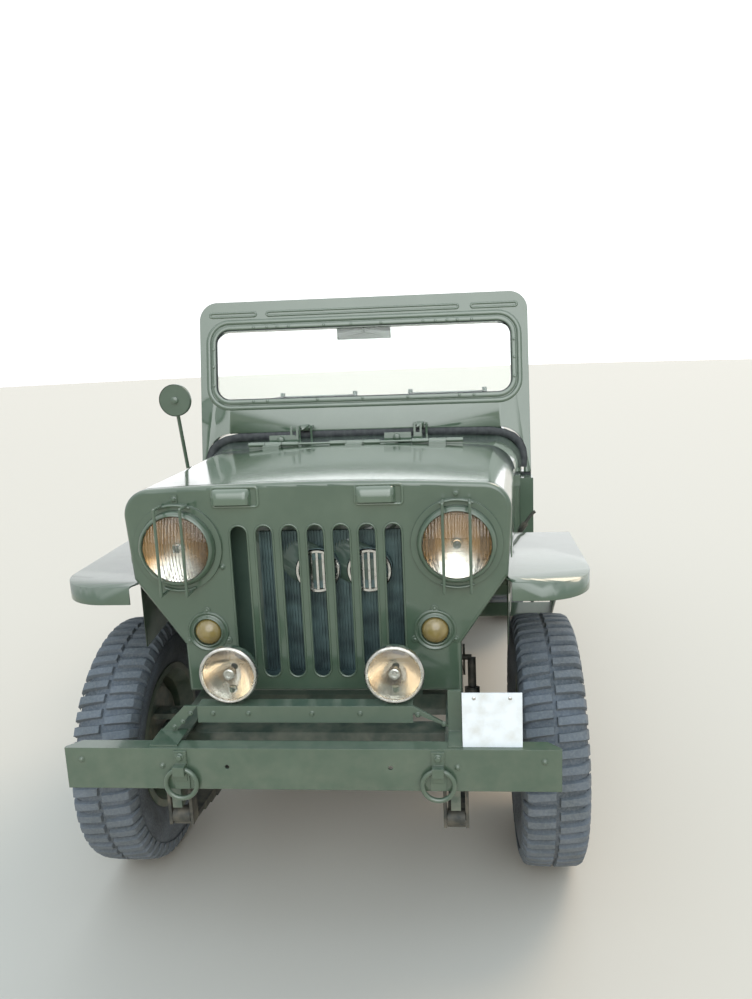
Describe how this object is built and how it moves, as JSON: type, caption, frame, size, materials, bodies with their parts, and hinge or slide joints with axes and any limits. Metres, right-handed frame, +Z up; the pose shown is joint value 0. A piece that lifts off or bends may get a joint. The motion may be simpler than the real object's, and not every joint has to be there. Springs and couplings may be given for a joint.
{
  "type": "army 4x4 car",
  "caption": "Small open army four-wheel-drive car with a high flat hood, slotted grille panel, folding windshield, cut-down sides, drop tailgate and bar-lug tyres.",
  "frame": {"origin": "on the ground under the centre of the bounding box", "axes": "+Z up, front towards -Y, +X towards the vehicle's left"},
  "size_m": [1.46, 3.323, 1.7285],
  "materials": {
    "body_paint": "glossy mid green enamel",
    "chassis_paint": "dark chassis paint",
    "tyre": "dusty black rubber",
    "wheel_paint": "green enamel",
    "glass": "clear glass",
    "amber": "amber lens",
    "seat_cover": "dark green imitation leather",
    "cast_iron": "oily cast iron",
    "black_plastic": "black plastic",
    "spring_steel": "dark spring steel",
    "core": "dark cooling fins",
    "exhaust_steel": "dull brown steel",
    "plate_white": "white enamel, blank",
    "lamp_red": "red lens"
  },
  "bodies": {
    "car": {"ladder_frame": "chassis_paint", "front_axle": "chassis_paint", "rear_axle": "chassis_paint", "springs_and_dampers": "spring_steel", "front_bumper": "body_paint", "lamp_bar": "body_paint", "number_plate": "plate_white", "lamp_bowls": "body_paint", "lamp_lenses": "glass", "marker_lamps": "amber", "lamp_guards": "body_paint", "grille": "body_paint", "radiator": "core", "fender_left": "body_paint", "fender_right": "body_paint", "cowl": "body_paint", "tub_left": "body_paint", "tub_right": "body_paint", "tub_floor": "body_paint", "rear_fittings": "body_paint", "tail_lamps": "lamp_red", "seat_frames": "body_paint", "driver_pads": "seat_cover", "passenger_pads": "seat_cover", "bench_frame": "body_paint", "bench_pads": "seat_cover", "fuel_tank": "chassis_paint", "steering_column": "body_paint", "levers": "black_plastic", "engine": "cast_iron", "driveline": "cast_iron", "exhaust": "exhaust_steel"},
    "knuckle_left": {"knuckle_left": "cast_iron"},
    "knuckle_right": {"knuckle_right": "cast_iron"},
    "tie_rod": {"tie_rod": "spring_steel"},
    "steering_wheel": {"steering_wheel": "black_plastic"},
    "hood": {"hood": "body_paint"},
    "windshield": {"windshield_frame": "body_paint", "windshield_glass": "glass", "side_mirror": "body_paint"},
    "tailgate": {"tailgate": "body_paint"},
    "road_wheel_front_left": {"tyre_front_left": "tyre", "wheel_front_left": "wheel_paint"},
    "road_wheel_front_right": {"tyre_front_right": "tyre", "wheel_front_right": "wheel_paint"},
    "road_wheel_rear_left": {"tyre_rear_left": "tyre", "wheel_rear_left": "wheel_paint"},
    "road_wheel_rear_right": {"tyre_rear_right": "tyre", "wheel_rear_right": "wheel_paint"}
  },
  "joints": [
    {"name": "spin_front_left", "type": "hinge", "parent": "knuckle_left", "child": "road_wheel_front_left", "pos_m": [0.613, -1.1175, 0.362], "axis": [1, 0, 0], "continuous": true},
    {"name": "spin_front_right", "type": "hinge", "parent": "knuckle_right", "child": "road_wheel_front_right", "pos_m": [-0.613, -1.1175, 0.362], "axis": [1, 0, 0], "continuous": true},
    {"name": "spin_rear_left", "type": "hinge", "parent": "car", "child": "road_wheel_rear_left", "pos_m": [0.613, 0.9145, 0.362], "axis": [1, 0, 0], "continuous": true},
    {"name": "spin_rear_right", "type": "hinge", "parent": "car", "child": "road_wheel_rear_right", "pos_m": [-0.613, 0.9145, 0.362], "axis": [1, 0, 0], "continuous": true},
    {"name": "steer_left", "type": "hinge", "parent": "car", "child": "knuckle_left", "pos_m": [0.535, -1.1175, 0.362], "axis": [0, 0, 1], "range_deg": [-22, 22]},
    {"name": "steer_right", "type": "hinge", "parent": "car", "child": "knuckle_right", "pos_m": [-0.535, -1.1175, 0.362], "axis": [0, 0, 1], "range_deg": [-22.5, 22.5]},
    {"name": "tie_rod_end", "type": "hinge", "parent": "knuckle_left", "child": "tie_rod", "pos_m": [0.535, -0.9675, 0.259], "axis": [0, 0, 1], "range_deg": [-22.5, 22.5]},
    {"name": "steering_wheel_turn", "type": "hinge", "parent": "car", "child": "steering_wheel", "pos_m": [-0.325, -0.0775, 1.165], "axis": [0, 0.788, 0.6157], "range_deg": [-270, 270]},
    {"name": "hood_hinge", "type": "hinge", "parent": "car", "child": "hood", "pos_m": [0, -0.5535, 1.196], "axis": [-1, 0, 0], "range_deg": [0, 100]},
    {"name": "windshield_fold", "type": "hinge", "parent": "car", "child": "windshield", "pos_m": [0, -0.3055, 1.228], "axis": [-1, 0, 0], "range_deg": [-95, 0]},
    {"name": "tailgate_drop", "type": "hinge", "parent": "car", "child": "tailgate", "pos_m": [0, 1.5905, 0.628], "axis": [-1, 0, 0], "range_deg": [0, 90]}
  ],
  "couplings": [
    {"joint": "steer_right", "follows": "steer_left", "ratio": 1},
    {"joint": "tie_rod_end", "follows": "steer_left", "ratio": -1},
    {"joint": "steering_wheel_turn", "follows": "steer_left", "ratio": 12}
  ]
}
